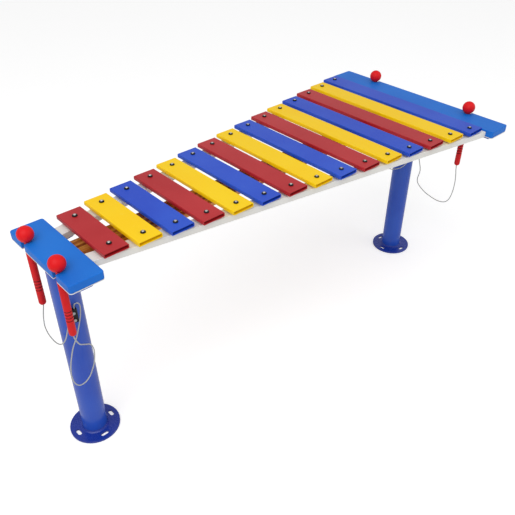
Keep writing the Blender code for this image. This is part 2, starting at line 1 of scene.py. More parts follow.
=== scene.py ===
# %% [markdown]
# # An outdoor metallophone
# Fifteen painted metal bars lie on two rails between blue end boards, on two tube legs. This script loads
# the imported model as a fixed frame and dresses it: it gives every solid a finish, and makes again, finer,
# the pieces whose roundness shows. Everything is in metres, +Z up, with the short bars at -X.

# %% Load the frame
import json
import math

import bmesh
import bpy
from mathutils import Matrix, Vector


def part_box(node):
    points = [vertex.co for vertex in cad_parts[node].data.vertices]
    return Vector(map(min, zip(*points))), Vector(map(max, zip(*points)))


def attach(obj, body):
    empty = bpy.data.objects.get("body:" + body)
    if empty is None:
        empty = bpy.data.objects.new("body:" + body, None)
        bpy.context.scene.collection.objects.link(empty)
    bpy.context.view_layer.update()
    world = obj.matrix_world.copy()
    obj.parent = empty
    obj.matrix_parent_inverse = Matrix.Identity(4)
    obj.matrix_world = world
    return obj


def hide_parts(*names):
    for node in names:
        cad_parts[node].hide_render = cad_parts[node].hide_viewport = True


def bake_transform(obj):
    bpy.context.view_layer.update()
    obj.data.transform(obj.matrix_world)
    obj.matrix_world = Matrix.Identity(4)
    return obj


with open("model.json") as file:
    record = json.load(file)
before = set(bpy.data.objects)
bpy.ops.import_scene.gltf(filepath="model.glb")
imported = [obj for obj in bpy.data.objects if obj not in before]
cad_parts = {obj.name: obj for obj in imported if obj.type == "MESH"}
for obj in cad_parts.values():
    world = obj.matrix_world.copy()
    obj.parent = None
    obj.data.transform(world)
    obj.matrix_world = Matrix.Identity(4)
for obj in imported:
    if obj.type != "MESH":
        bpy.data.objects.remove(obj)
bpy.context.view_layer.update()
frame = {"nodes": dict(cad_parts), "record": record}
NODES = frame["nodes"]
print("nodes in the frame:", len(NODES))

# %% [markdown]
# ## The camera
# The photograph looks down on the instrument from the player's left. The camera's place and lens were
# worked out from the rows of bolts, whose spacing is regular, so they are plain values here.

# %% Place the camera
CAMERA_PLACE = (-1.4416, -1.5078, 1.8557)
CAMERA_TILT = math.radians(53.877)
CAMERA_HEADING = math.radians(-42.389)
CAMERA_ROLL = math.radians(0.29)
LENS_MM = 43.64

camera_data = bpy.data.cameras.new("camera")
camera_data.lens = LENS_MM
camera_data.sensor_width = 36.0
camera = bpy.data.objects.new("camera", camera_data)
turn = Matrix.Rotation(CAMERA_HEADING, 4, "Z") @ Matrix.Rotation(CAMERA_TILT, 4, "X")
camera.matrix_world = Matrix.Translation(CAMERA_PLACE) @ turn @ Matrix.Rotation(CAMERA_ROLL, 4, "Z")
bpy.context.collection.objects.link(camera)
bpy.context.scene.camera = camera
print("camera at", CAMERA_PLACE, "lens", LENS_MM)

# %% [markdown]
# ## Colours and two shared effects
# Colours are written as they look, from 0 to 255, and turned into the linear values that shaders use.
# Most surfaces here age the same way: the sun fades them in soft blotches and handling leaves a fine
# grain. That is one node group, with its own values in each material. Painted and moulded pieces also
# catch pale wear where they are rubbed, which is a second group fed by a finer, sparser noise.

# %% Helpers for colour and node groups
def linear(red, green, blue):
    """The linear colour of a colour written from 0 to 255."""
    channels = [value / 255 for value in (red, green, blue)]
    return (*[c / 12.92 if c <= 0.04045 else ((c + 0.055) / 1.055) ** 2.4 for c in channels], 1.0)


def new_group(name, inputs, outputs):
    """An empty shader group with named sockets; each input is (name, type, value)."""
    tree = bpy.data.node_groups.new(name, "ShaderNodeTree")
    for label, kind, value in inputs:
        socket = tree.interface.new_socket(name=label, in_out="INPUT", socket_type=kind)
        socket.default_value = value
    for label, kind in outputs:
        tree.interface.new_socket(name=label, in_out="OUTPUT", socket_type=kind)
    return tree, tree.nodes.new("NodeGroupInput"), tree.nodes.new("NodeGroupOutput")


def ramp_between(tree, value, low, high, first=0.0, last=1.0):
    """Map a value that runs from low to high onto first to last."""
    node = tree.nodes.new("ShaderNodeMapRange")
    node.inputs["From Min"].default_value = low
    node.inputs["From Max"].default_value = high
    node.inputs["To Min"].default_value = first
    node.inputs["To Max"].default_value = last
    tree.links.new(value, node.inputs["Value"])
    return node.outputs["Result"]


def mixed_colour(tree, factor, first, second):
    """Mix two colours, each a socket."""
    node = tree.nodes.new("ShaderNodeMix")
    node.data_type = "RGBA"
    tree.links.new(factor, node.inputs[0])
    tree.links.new(first, node.inputs[6])
    tree.links.new(second, node.inputs[7])
    return node.outputs[2]


# %% The ageing group
AGEING_INPUTS = (
    ("Color", "NodeSocketColor", (0.5, 0.5, 0.5, 1.0)),
    ("Faded Color", "NodeSocketColor", (0.6, 0.6, 0.6, 1.0)),
    ("Blotch Scale", "NodeSocketFloat", 4.0),
    ("Grain Scale", "NodeSocketFloat", 300.0),
    ("Roughness Low", "NodeSocketFloat", 0.3),
    ("Roughness High", "NodeSocketFloat", 0.5),
)
AGEING_OUTPUTS = (
    ("Color", "NodeSocketColor"),
    ("Roughness", "NodeSocketFloat"),
    ("Height", "NodeSocketFloat"),
)


def make_ageing_group():
    tree, given, result = new_group("ageing", AGEING_INPUTS, AGEING_OUTPUTS)
    place = tree.nodes.new("ShaderNodeTexCoord")
    blotch = tree.nodes.new("ShaderNodeTexNoise")
    grain = tree.nodes.new("ShaderNodeTexNoise")
    blotch.inputs["Detail"].default_value = 5.0
    grain.inputs["Detail"].default_value = 3.0
    for noise, label in ((blotch, "Blotch Scale"), (grain, "Grain Scale")):
        tree.links.new(place.outputs["Object"], noise.inputs["Vector"])
        tree.links.new(given.outputs[label], noise.inputs["Scale"])
    fade = ramp_between(tree, blotch.outputs["Fac"], 0.38, 0.66)
    tree.links.new(mixed_colour(tree, fade, given.outputs["Color"], given.outputs["Faded Color"]),
                   result.inputs["Color"])
    gloss = tree.nodes.new("ShaderNodeMapRange")
    tree.links.new(grain.outputs["Fac"], gloss.inputs["Value"])
    tree.links.new(given.outputs["Roughness Low"], gloss.inputs["To Min"])
    tree.links.new(given.outputs["Roughness High"], gloss.inputs["To Max"])
    tree.links.new(gloss.outputs["Result"], result.inputs["Roughness"])
    tree.links.new(grain.outputs["Fac"], result.inputs["Height"])
    return tree


# %% The rubbed wear group
WEAR_INPUTS = (
    ("Color", "NodeSocketColor", (0.5, 0.5, 0.5, 1.0)),
    ("Wear Color", "NodeSocketColor", (0.8, 0.8, 0.8, 1.0)),
    ("Mark Scale", "NodeSocketFloat", 60.0),
    ("Amount", "NodeSocketFloat", 0.3),
)


def make_wear_group():
    tree, given, result = new_group("rubbed wear", WEAR_INPUTS, (("Color", "NodeSocketColor"),))
    place = tree.nodes.new("ShaderNodeTexCoord")
    marks = tree.nodes.new("ShaderNodeTexNoise")
    marks.inputs["Detail"].default_value = 8.0
    marks.inputs["Roughness"].default_value = 0.7
    tree.links.new(place.outputs["Object"], marks.inputs["Vector"])
    tree.links.new(given.outputs["Mark Scale"], marks.inputs["Scale"])
    sparse = ramp_between(tree, marks.outputs["Fac"], 0.62, 0.78)
    amount = tree.nodes.new("ShaderNodeMath")
    amount.operation = "MULTIPLY"
    tree.links.new(sparse, amount.inputs[0])
    tree.links.new(given.outputs["Amount"], amount.inputs[1])
    worn = mixed_colour(tree, amount.outputs[0], given.outputs["Color"], given.outputs["Wear Color"])
    tree.links.new(worn, result.inputs["Color"])
    return tree


AGEING = make_ageing_group()
WEAR = make_wear_group()
print("shared effects:", AGEING.name, "and", WEAR.name)

# %% [markdown]
# ## One maker for the plain finishes
# Powder paint, moulded plastic, rubber and steel differ in colour, gloss, grain and wear, and hardly in
# anything else. So one function builds the material and each finish passes its own values.

# %% The finishes
def finish_material(name, colour, faded, gloss=(0.35, 0.5), blotch=4.0, grain=300.0, bump=0.05,
                    wear=None, wear_amount=0.3, mark_scale=60.0, metallic=0.0, coat=0.0, shine=0.35):
    material = bpy.data.materials.new(name)
    material.use_nodes = True
    tree = material.node_tree
    shader = tree.nodes["Principled BSDF"]
    shader.inputs["Metallic"].default_value = metallic
    shader.inputs["Specular IOR Level"].default_value = shine
    shader.inputs["Coat Weight"].default_value = coat
    shader.inputs["Coat Roughness"].default_value = 0.15
    aged = tree.nodes.new("ShaderNodeGroup")
    aged.node_tree = AGEING
    aged.inputs["Color"].default_value = linear(*colour)
    aged.inputs["Faded Color"].default_value = linear(*faded)
    aged.inputs["Blotch Scale"].default_value = blotch
    aged.inputs["Grain Scale"].default_value = grain
    aged.inputs["Roughness Low"].default_value = gloss[0]
    aged.inputs["Roughness High"].default_value = gloss[1]
    colour_out = aged.outputs["Color"]
    if wear:
        rubbed = tree.nodes.new("ShaderNodeGroup")
        rubbed.node_tree = WEAR
        rubbed.inputs["Wear Color"].default_value = linear(*wear)
        rubbed.inputs["Mark Scale"].default_value = mark_scale
        rubbed.inputs["Amount"].default_value = wear_amount
        tree.links.new(colour_out, rubbed.inputs["Color"])
        colour_out = rubbed.outputs["Color"]
    tree.links.new(colour_out, shader.inputs["Base Color"])
    tree.links.new(aged.outputs["Roughness"], shader.inputs["Roughness"])
    relief = tree.nodes.new("ShaderNodeBump")
    relief.inputs["Strength"].default_value = bump
    relief.inputs["Distance"].default_value = 0.001
    tree.links.new(aged.outputs["Height"], relief.inputs["Height"])
    tree.links.new(relief.outputs["Normal"], shader.inputs["Normal"])
    return material


FINISHES = {
    "bar_red": finish_material("bar red paint", (178, 26, 34), (188, 38, 44), wear=(214, 96, 92),
                               wear_amount=0.3, mark_scale=45, gloss=(0.3, 0.42)),
    "bar_yellow": finish_material("bar yellow paint", (255, 208, 0), (255, 214, 12), wear=(255, 230, 110),
                                  wear_amount=0.3, mark_scale=45, gloss=(0.3, 0.42), shine=0.2),
    "bar_blue": finish_material("bar blue paint", (26, 72, 198), (36, 84, 206), wear=(104, 132, 222),
                                wear_amount=0.3, mark_scale=45, gloss=(0.3, 0.42)),
    "board": finish_material("board plastic", (0, 106, 208), (6, 116, 216), wear=(84, 150, 230),
                             wear_amount=0.2, mark_scale=30, gloss=(0.42, 0.58), grain=500, bump=0.12),
    "pale_plastic": finish_material("pale plastic", (240, 239, 235), (232, 230, 224), wear=(200, 196, 186),
                                    wear_amount=0.3, gloss=(0.45, 0.6), grain=400, bump=0.08),
    "leg_paint": finish_material("leg paint", (30, 74, 184), (40, 86, 194), wear=(90, 120, 210),
                                 wear_amount=0.2, gloss=(0.24, 0.28), bump=0.015, coat=0.3),
    # The flange finish is a darker copy of the leg paint, which paints the shade near the foot of each leg.
    "flange_paint_shaded": finish_material("flange paint, shaded copy", (14, 44, 146), (22, 54, 158), wear=(70, 88, 188),
                                    wear_amount=0.3, gloss=(0.22, 0.32), bump=0.015, coat=0.3),
    "black_metal": finish_material("blacked steel", (26, 26, 28), (44, 44, 46), gloss=(0.3, 0.45),
                                   metallic=0.6, wear=(110, 110, 112), wear_amount=0.25, mark_scale=200),
    "black_rubber": finish_material("black rubber", (22, 22, 22), (38, 38, 36), gloss=(0.7, 0.85), bump=0.2),
    "mallet_head": finish_material("red rubber ball", (226, 6, 16), (232, 16, 24), gloss=(0.4, 0.55),
                                   wear=(240, 84, 80), wear_amount=0.2, mark_scale=90, bump=0.1, shine=0.25),
    "mallet_grip": finish_material("red rubber grip", (212, 16, 22), (222, 28, 32), gloss=(0.42, 0.58),
                                   wear=(150, 18, 22), wear_amount=0.3, mark_scale=90, bump=0.12, shine=0.25),
    # The groove finish is a darker red that paints the shade deep in the grip's grooves.
    "grip_groove_shade": finish_material("painted shade in the grip grooves", (128, 10, 14), (112, 12, 16), gloss=(0.6, 0.75)),
    "mallet_rod": finish_material("rod plastic", (180, 30, 32), (192, 44, 44), gloss=(0.35, 0.45)),
    "bright_steel": finish_material("bright steel", (232, 228, 224), (214, 210, 206), gloss=(0.12, 0.2),
                                    metallic=1.0, grain=900),
    "zinc": finish_material("zinc plate", (196, 198, 200), (172, 174, 176), gloss=(0.25, 0.4), metallic=1.0,
                            grain=900),
}

# %% [markdown]
# ## Timber
# The spine is a varnished softwood plank. Grain runs along the board, so noise is stretched along X and
# bent a little, then drives a ramp from dark late wood to pale early wood, with fine pores in the bump.

# %% The timber finish
WOOD_DARK = linear(130, 64, 14)
WOOD_MIDDLE = linear(196, 118, 36)
WOOD_PALE = linear(226, 160, 76)


def make_timber():
    material = bpy.data.materials.new("varnished timber")
    material.use_nodes = True
    tree = material.node_tree
    shader = tree.nodes["Principled BSDF"]
    shader.inputs["Coat Weight"].default_value = 0.25
    place = tree.nodes.new("ShaderNodeTexCoord")
    stretch = tree.nodes.new("ShaderNodeMapping")
    stretch.inputs["Scale"].default_value = (1.2, 26.0, 26.0)
    tree.links.new(place.outputs["Object"], stretch.inputs["Vector"])
    grain = tree.nodes.new("ShaderNodeTexNoise")
    grain.inputs["Scale"].default_value = 2.2
    grain.inputs["Detail"].default_value = 6.0
    grain.inputs["Distortion"].default_value = 0.7
    tree.links.new(stretch.outputs["Vector"], grain.inputs["Vector"])
    ramp = tree.nodes.new("ShaderNodeValToRGB")
    ramp.color_ramp.elements[0].position = 0.38
    ramp.color_ramp.elements[0].color = WOOD_DARK
    ramp.color_ramp.elements[1].position = 0.62
    ramp.color_ramp.elements[1].color = WOOD_PALE
    ramp.color_ramp.elements.new(0.5).color = WOOD_MIDDLE
    tree.links.new(grain.outputs["Fac"], ramp.inputs["Fac"])
    tree.links.new(ramp.outputs["Color"], shader.inputs["Base Color"])
    tree.links.new(ramp_between(tree, grain.outputs["Fac"], 0.3, 0.7, 0.45, 0.6), shader.inputs["Roughness"])
    relief = tree.nodes.new("ShaderNodeBump")
    relief.inputs["Strength"].default_value = 0.25
    relief.inputs["Distance"].default_value = 0.001
    tree.links.new(grain.outputs["Fac"], relief.inputs["Height"])
    tree.links.new(relief.outputs["Normal"], shader.inputs["Normal"])
    return material


FINISHES["wood"] = make_timber()

# %% [markdown]
# ## Wire rope
# The tethers are thin twisted steel rope. The lay of the strands is far finer than a pixel here, so a
# slanted wave across the rope gives its ribbed sparkle in colour and bump.

# %% The rope finish
def make_rope_finish():
    material = bpy.data.materials.new("wire rope")
    material.use_nodes = True
    tree = material.node_tree
    shader = tree.nodes["Principled BSDF"]
    shader.inputs["Metallic"].default_value = 0.5
    place = tree.nodes.new("ShaderNodeTexCoord")
    lay = tree.nodes.new("ShaderNodeTexWave")
    lay.bands_direction = "DIAGONAL"
    lay.inputs["Scale"].default_value = 160.0
    lay.inputs["Distortion"].default_value = 0.6
    tree.links.new(place.outputs["Object"], lay.inputs["Vector"])
    ramp = tree.nodes.new("ShaderNodeValToRGB")
    ramp.color_ramp.elements[0].color = linear(146, 148, 146)
    ramp.color_ramp.elements[1].color = linear(216, 218, 214)
    tree.links.new(lay.outputs["Fac"], ramp.inputs["Fac"])
    tree.links.new(ramp.outputs["Color"], shader.inputs["Base Color"])
    tree.links.new(ramp_between(tree, lay.outputs["Fac"], 0.0, 1.0, 0.5, 0.32), shader.inputs["Roughness"])
    relief = tree.nodes.new("ShaderNodeBump")
    relief.inputs["Strength"].default_value = 0.4
    relief.inputs["Distance"].default_value = 0.0005
    tree.links.new(lay.outputs["Fac"], relief.inputs["Height"])
    tree.links.new(relief.outputs["Normal"], shader.inputs["Normal"])
    return material


FINISHES["wire_rope"] = make_rope_finish()
print("finishes:", len(FINISHES))

# %% [markdown]
# ## Dressing the solids
# The record says which material slot each node belongs to, so one loop hands every solid its finish.

# %% Give each node its finish
# The foot flanges get that darker copy of the leg paint, as painted shade near the floor.
SHADED_FLANGE_NODES = {"foot_flange_short": "flange_paint_shaded", "foot_flange_long": "flange_paint_shaded"}
for subpart in frame["record"]["subparts"]:
    node = NODES[subpart["node"]]
    for slot in node.material_slots:
        slot.material = FINISHES[SHADED_FLANGE_NODES.get(subpart["node"], subpart["material_slot"])]

# %% [markdown]
# ## Round pieces
# Legs, balls, grips and fasteners are all turned or nearly so. One helper stacks rings of points up an
# axis and skins them. A ring can be round or a hexagon, so the same helper makes a bolt's hexagon head and a
# nut.

# %% A helper that skins rings
def ring(radius, height, sides, hexagonal=False):
    """Points of one ring; a hexagonal ring has its radius across the flats."""
    points = []
    for i in range(sides):
        angle = 2 * math.pi * i / sides
        reach = radius
        if hexagonal:
            reach = radius / math.cos((angle % (math.pi / 3)) - math.pi / 6)
        points.append((reach * math.cos(angle), reach * math.sin(angle), height))
    return points


def add_rings(bm, rings, sides, place, closed=False):
    """Skin rings of (radius, height, hexagonal) in place; open stacks get caps, closed ones join up."""
    loops = [[bm.verts.new(place @ Vector(p)) for p in ring(r, z, sides, h)] for r, z, h in rings]
    pairs = list(zip(loops, loops[1:]))
    if closed:
        pairs.append((loops[-1], loops[0]))
    for low, high in pairs:
        for i in range(sides):
            j = (i + 1) % sides
            bm.faces.new((low[i], low[j], high[j], high[i]))
    if not closed:
        bm.faces.new(loops[0])
        bm.faces.new(loops[-1])


def make_piece(name, bm, finish, body=None, node_name=None, second_finish=None):
    """Turn a mesh into a smooth-shaded piece that rides on a body if one is given; a node it replaces is
    hidden.
    """
    bmesh.ops.recalc_face_normals(bm, faces=bm.faces)
    mesh = bpy.data.meshes.new(name)
    bm.to_mesh(mesh)
    bm.free()
    mesh.shade_smooth()
    mesh.set_sharp_from_angle(angle=math.radians(32))
    mesh.materials.append(FINISHES[finish])
    if second_finish:
        mesh.materials.append(FINISHES[second_finish])
    piece = bpy.data.objects.new(name, mesh)
    bpy.context.collection.objects.link(piece)
    if body:
        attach(piece, body)
    if node_name:
        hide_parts(node_name)
    return piece


def middle_of(node_name):
    """Middle of a node's box in X and Y, with its lowest and highest Z."""
    low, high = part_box(node_name)
    return (low[0] + high[0]) / 2, (low[1] + high[1]) / 2, low[2], high[2]


# %% [markdown]
# ## Legs
# Each leg is one straight steel tube, powder coated. It is made again with enough sides that its outline
# and its long highlight stay round.

# %% Make the legs
LEG_WALL = 0.0032
for label in ("short", "long"):
    low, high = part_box("leg_" + label)
    x, y, foot, top = middle_of("leg_" + label)
    outer = (high[0] - low[0]) / 2
    inner = outer - LEG_WALL
    bm = bmesh.new()
    rings = [(inner, foot, False), (outer, foot, False), (outer, top, False), (inner, top, False)]
    add_rings(bm, rings, 96, Matrix.Translation((x, y, 0)), closed=True)
    make_piece("tube_leg_" + label, bm, "leg_paint", "frame", "leg_" + label)

# %% [markdown]
# ## Mallets
# The head is a solid rubber ball that tapers into a neck, which sits in the notch. The grip is a long
# rubber sleeve with four grooves near its top half and a rounded end where the rope goes in.

# %% Make the mallet heads
BALL_RADIUS = 0.026
BALL_END = math.radians(130)
BALL_STEPS = 22
NECK_RADIUS = 0.0095
NECK_START_BELOW_BALL = 0.0265
NECK_TAPER = 0.001
NECK_FLARE = 0.0035
MALLETS = [end + "_" + side for end in ("short", "long") for side in ("front", "back")]


def make_head(label):
    node = "mallet_head_" + label
    x, y, foot, top = middle_of(node)
    centre = top - BALL_RADIUS
    rings = [
        (BALL_RADIUS * math.sin(a), centre + BALL_RADIUS * math.cos(a), False)
        for a in (BALL_END * i / BALL_STEPS for i in range(1, BALL_STEPS + 1))
    ]
    rings += [
        (NECK_RADIUS + NECK_FLARE, centre - NECK_START_BELOW_BALL + NECK_FLARE, False),
        (NECK_RADIUS, centre - NECK_START_BELOW_BALL - NECK_TAPER, False),
        (NECK_RADIUS - NECK_TAPER, foot, False),
    ]
    bm = bmesh.new()
    add_rings(bm, rings, 64, Matrix.Translation((x, y, 0)))
    make_piece("ball_" + label, bm, "mallet_head", "mallet_" + label, node)


for label in MALLETS:
    make_head(label)

# %% Make the grips
GROOVES = (0.6385, 0.6265, 0.6145, 0.6025)
GROOVE_HALF_WIDTH = 0.0030
GROOVE_DEPTH = 0.0026
GROOVE_STATIONS = (1.0, 0.6, 0.25, 0.0, -0.25, -0.6, -1.0)
SHADED_SHARE = 0.4
END_STEPS = 8
END_HEIGHT = 0.010
END_FLAT = 0.35


def make_grip(label):
    node = "mallet_grip_" + label
    low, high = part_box(node)
    x, y, foot, top = middle_of(node)
    radius = (high[0] - low[0]) / 2
    rings = [
        (radius - 0.002, top, False), (radius - 0.0006, top - 0.0008, False), (radius, top - 0.003, False),
    ]
    for height in GROOVES:
        for share in GROOVE_STATIONS:
            depth = GROOVE_DEPTH * (1 + math.cos(math.pi * share)) / 2
            rings.append((radius - depth, height + share * GROOVE_HALF_WIDTH, False))
    for i in range(END_STEPS + 1):
        angle = math.pi / 2 * i / END_STEPS
        reach = radius * (END_FLAT + (1 - END_FLAT) * math.cos(angle))
        rings.append((reach, foot + END_HEIGHT * (1 - math.sin(angle)), False))
    bm = bmesh.new()
    add_rings(bm, rings, 48, Matrix.Translation((x, y, 0)))
    # Faces deep in a groove take the second, darker finish, which paints the shade there.
    for face in bm.faces:
        centre = face.calc_center_median()
        depth = radius - math.hypot(centre.x - x, centre.y - y)
        near = min(abs(centre.z - height) for height in GROOVES)
        if near < GROOVE_HALF_WIDTH and depth > GROOVE_DEPTH * SHADED_SHARE:
            face.material_index = 1
    make_piece("grip_" + label, bm, "mallet_grip", "mallet_" + label, node, "grip_groove_shade")


for label in MALLETS:
    make_grip(label)

# %% [markdown]
# ## Tethers
# Each mallet hangs on a short length of stiff rope, from the clamp on the leg to the end of its grip. It
# springs up out of the clamp, turns over and falls in a slack bow. The points repeat the route that the
# solids follow, and a smooth curve runs through them. Every rope drifts along Y on its way. Each rope is
# laid once, in place, and rides on neither the frame nor its mallet.

# %% The tether routes, from clamp to grip
ROPE_DIAMETER = 0.004
ROPE_SIDES = 12
STEPS_BETWEEN_POINTS = 8
ROUTES = {
    "tether_short_front": (
        (-0.8752, -0.0511, 0.5933), (-0.8750, -0.0514, 0.6020), (-0.8722, -0.0525, 0.6095),
        (-0.8665, -0.0540, 0.6130), (-0.8607, -0.0556, 0.6095), (-0.8580, -0.0572, 0.6015),
        (-0.8595, -0.0590, 0.5850), (-0.8642, -0.0607, 0.5660), (-0.8714, -0.0621, 0.5450),
        (-0.8820, -0.0655, 0.5220), (-0.8952, -0.0685, 0.4953), (-0.9095, -0.0710, 0.4740),
        (-0.9198, -0.0728, 0.4531), (-0.9342, -0.0749, 0.4090), (-0.9415, -0.0770, 0.3657),
        (-0.9383, -0.0800, 0.3330), (-0.9259, -0.0835, 0.3141), (-0.9076, -0.0856, 0.3144),
        (-0.8890, -0.0880, 0.3300), (-0.8765, -0.0899, 0.3525), (-0.8640, -0.0920, 0.3852),
        (-0.8576, -0.0942, 0.4260), (-0.8590, -0.0955, 0.4500), (-0.8670, -0.0965, 0.4700),
        (-0.8844, -0.0984, 0.4817), (-0.9000, -0.0984, 0.4925), (-0.9090, -0.0985, 0.5120),
        (-0.9135, -0.0985, 0.5300), (-0.9140, -0.0985, 0.5407),
    ),
    "tether_short_back": (
        (-0.8870, -0.0486, 0.5933), (-0.8868, -0.0489, 0.6030), (-0.8868, -0.0508, 0.6135),
        (-0.8883, -0.0540, 0.6230), (-0.8920, -0.0578, 0.6268), (-0.8959, -0.0607, 0.6215),
        (-0.8982, -0.0622, 0.6110), (-0.9003, -0.0628, 0.5960), (-0.9032, -0.0628, 0.5790),
        (-0.9068, -0.0621, 0.5610), (-0.9115, -0.0612, 0.5430),
        (-0.9175, -0.0600, 0.5230), (-0.9255, -0.0560, 0.4980), (-0.9330, -0.0450, 0.4780),
        (-0.9375, -0.0267, 0.4650), (-0.9392, 0.0000, 0.4570), (-0.9392, 0.0250, 0.4560),
        (-0.9384, 0.0481, 0.4590), (-0.9345, 0.0749, 0.4690), (-0.9270, 0.0910, 0.4896),
        (-0.9200, 0.0965, 0.5130), (-0.9150, 0.0985, 0.5300), (-0.9140, 0.0985, 0.5407),
    ),
    "tether_long_front": (
        (0.8658, -0.0511, 0.5933), (0.8661, -0.0515, 0.6020), (0.8688, -0.0527, 0.6100),
        (0.8742, -0.0550, 0.6140), (0.8797, -0.0577, 0.6105), (0.8826, -0.0600, 0.6020),
        (0.8837, -0.0622, 0.5860), (0.8850, -0.0650, 0.5600), (0.8870, -0.0690, 0.5320),
        (0.8888, -0.0735, 0.5060), (0.8903, -0.0800, 0.4840), (0.8911, -0.0850, 0.4660),
        (0.8910, -0.0862, 0.4470), (0.8902, -0.0830, 0.4270), (0.8897, -0.0805, 0.4090),
        (0.8902, -0.0855, 0.3900),
        (0.8927, -0.1043, 0.3704), (0.8959, -0.1330, 0.3529), (0.8997, -0.1651, 0.3419),
        (0.9030, -0.1941, 0.3357), (0.9062, -0.2226, 0.3380), (0.9085, -0.2420, 0.3494),
        (0.9100, -0.2545, 0.3720), (0.9118, -0.2615, 0.4128), (0.9127, -0.2625, 0.4535),
        (0.9136, -0.2590, 0.4888), (0.9140, -0.2535, 0.5180), (0.9140, -0.2515, 0.5407),
    ),
    "tether_long_back": (
        (0.8540, -0.0486, 0.5933), (0.8536, -0.0491, 0.6020), (0.8508, -0.0508, 0.6100),
        (0.8455, -0.0530, 0.6138), (0.8400, -0.0550, 0.6103), (0.8370, -0.0562, 0.6015),
        (0.8355, -0.0570, 0.5850), (0.8336, -0.0573, 0.5610), (0.8308, -0.0563, 0.5340),
        (0.8265, -0.0515, 0.5080),
        (0.8200, -0.0390, 0.4850), (0.8135, -0.0214, 0.4680), (0.8110, 0.0000, 0.4560),
        (0.8130, 0.0214, 0.4470), (0.8210, 0.0482, 0.4400), (0.8400, 0.0800, 0.4330),
        (0.8650, 0.1150, 0.4280), (0.8870, 0.1550, 0.4290), (0.9020, 0.1950, 0.4420),
        (0.9110, 0.2260, 0.4700), (0.9140, 0.2440, 0.5030), (0.9140, 0.2505, 0.5280),
        (0.9140, 0.2515, 0.5407),
    ),
}

FOLLOWING = {
    "short_front": (-0.053, -0.098),
    "short_back": (-0.050, 0.090),
    "long_front": (-0.100, -0.245),
    "long_back": (-0.020, 0.235),
}


# %% Lay the tethers
def smooth_line(route):
    """Points on the smooth curve through every point of the route."""
    spots = [Vector(point) for point in route]
    spots = [2 * spots[0] - spots[1]] + spots + [2 * spots[-1] - spots[-2]]
    line = []
    for a, b, c, d in zip(spots, spots[1:], spots[2:], spots[3:]):
        for i in range(STEPS_BETWEEN_POINTS):
            t = i / STEPS_BETWEEN_POINTS
            square, cube = 2 * a - 5 * b + 4 * c - d, 3 * b - a - 3 * c + d
            line.append(0.5 * (2 * b + (c - a) * t + square * t**2 + cube * t**3))
    return line + [spots[-2]]


def rope_mesh(points):
    """A round tube along the points, whose rings turn with the line and don't twist."""
    bm = bmesh.new()
    loops = []
    side = (points[1] - points[0]).orthogonal()
    for i, point in enumerate(points):
        ahead = (points[min(i + 1, len(points) - 1)] - points[max(i - 1, 0)]).normalized()
        side = (side - ahead * side.dot(ahead)).normalized()
        up = ahead.cross(side)
        angles = [2 * math.pi * k / ROPE_SIDES for k in range(ROPE_SIDES)]
        loops.append([
            bm.verts.new(point + ROPE_DIAMETER / 2 * (side * math.cos(a) + up * math.sin(a))) for a in angles
        ])
    for near, far in zip(loops, loops[1:]):
        for k in range(ROPE_SIDES):
            n = (k + 1) % ROPE_SIDES
            bm.faces.new((near[k], near[n], far[n], far[k]))
    bm.faces.new(loops[0])
    bm.faces.new(loops[-1])
    return bm


def lay_tether(label, route):
    """Lay one rope along its route; it rides on no body."""
    node_name = "tether_" + label
    points = smooth_line(route)
    rope = make_piece("rope_" + node_name, rope_mesh(points), "wire_rope", None, node_name)
    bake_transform(rope)


for label, (start_y, end_y) in FOLLOWING.items():
    lay_tether(label, ROUTES["tether_" + label])

# %% [markdown]
# ## Fasteners
# Thirty bolts hold the bars. Each has a black collar with a bright domed centre, a flange
# nut under the rail and a round rubber bush under its bar. The bright centre is a painted highlight, the
# glint on a black domed head. They are small and alike, so each kind is one mesh of separate pieces. The
# bushes stand in for the plain rubber strips of the solids.

# %% The bar bolts and their nuts
HEAD_RADIUS = 0.00875
HEAD_HEIGHT = 0.0055
SHANK_RADIUS = 0.004
DOME_RADIUS = 0.0046
DOME_HEIGHT = 0.0062
BUSH_RADIUS = 0.012
NUT_FLATS = 0.0065
NUT_HEIGHT = 0.008
NUT_BORE = SHANK_RADIUS + 0.0003
NUT_FLANGE_RADIUS = 0.0095
NUT_FLANGE_EDGE = 0.0012
NUT_FLANGE_THICKNESS = 0.0022
BUSH_BORE = SHANK_RADIUS + 0.0005
BUSH_BULGE = 0.0008
FIRST_BOLT_Y = 0.1008
BOLT_STEP_Y = 0.018586
GAP = 0.0003
RAIL_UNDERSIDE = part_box("rail_front")[0][2]


def bolt_spots():
    spots = []
    for i in range(15):
        low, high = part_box(f"bar_{i + 1:02d}")
        for side in (-1, 1):
            spots.append(((low[0] + high[0]) / 2, side * (FIRST_BOLT_Y + BOLT_STEP_Y * i), high[2]))
    return spots


def add_collar(bm, place):
    """A black collar round the dome, with the bolt's shank below it."""
    tip = RAIL_UNDERSIDE - place.translation.z - NUT_HEIGHT - 0.004
    rings = [(SHANK_RADIUS, tip, False), (SHANK_RADIUS, 0, False), (HEAD_RADIUS, 0, False),
             (HEAD_RADIUS, 0.0012, False)]
    for i in range(1, 6):
        angle = math.pi / 2 * i / 5
        radius = DOME_RADIUS + (HEAD_RADIUS - DOME_RADIUS) * math.cos(angle)
        rings.append((radius, 0.0012 + (HEAD_HEIGHT - 0.0022) * math.sin(angle), False))
    add_rings(bm, rings, 24, place)


def add_glint_dome(bm, place):
    """The bright centre that stands a little above the collar; its brightness is a painted highlight, the
    glint on the domed head.
    """
    seat = HEAD_HEIGHT - 0.0008
    rings = [
        (DOME_RADIUS * math.cos(a), seat + (DOME_HEIGHT - seat) * math.sin(a), False)
        for a in (math.radians(85) * i / 6 for i in range(7))
    ]
    add_rings(bm, rings, 24, place)


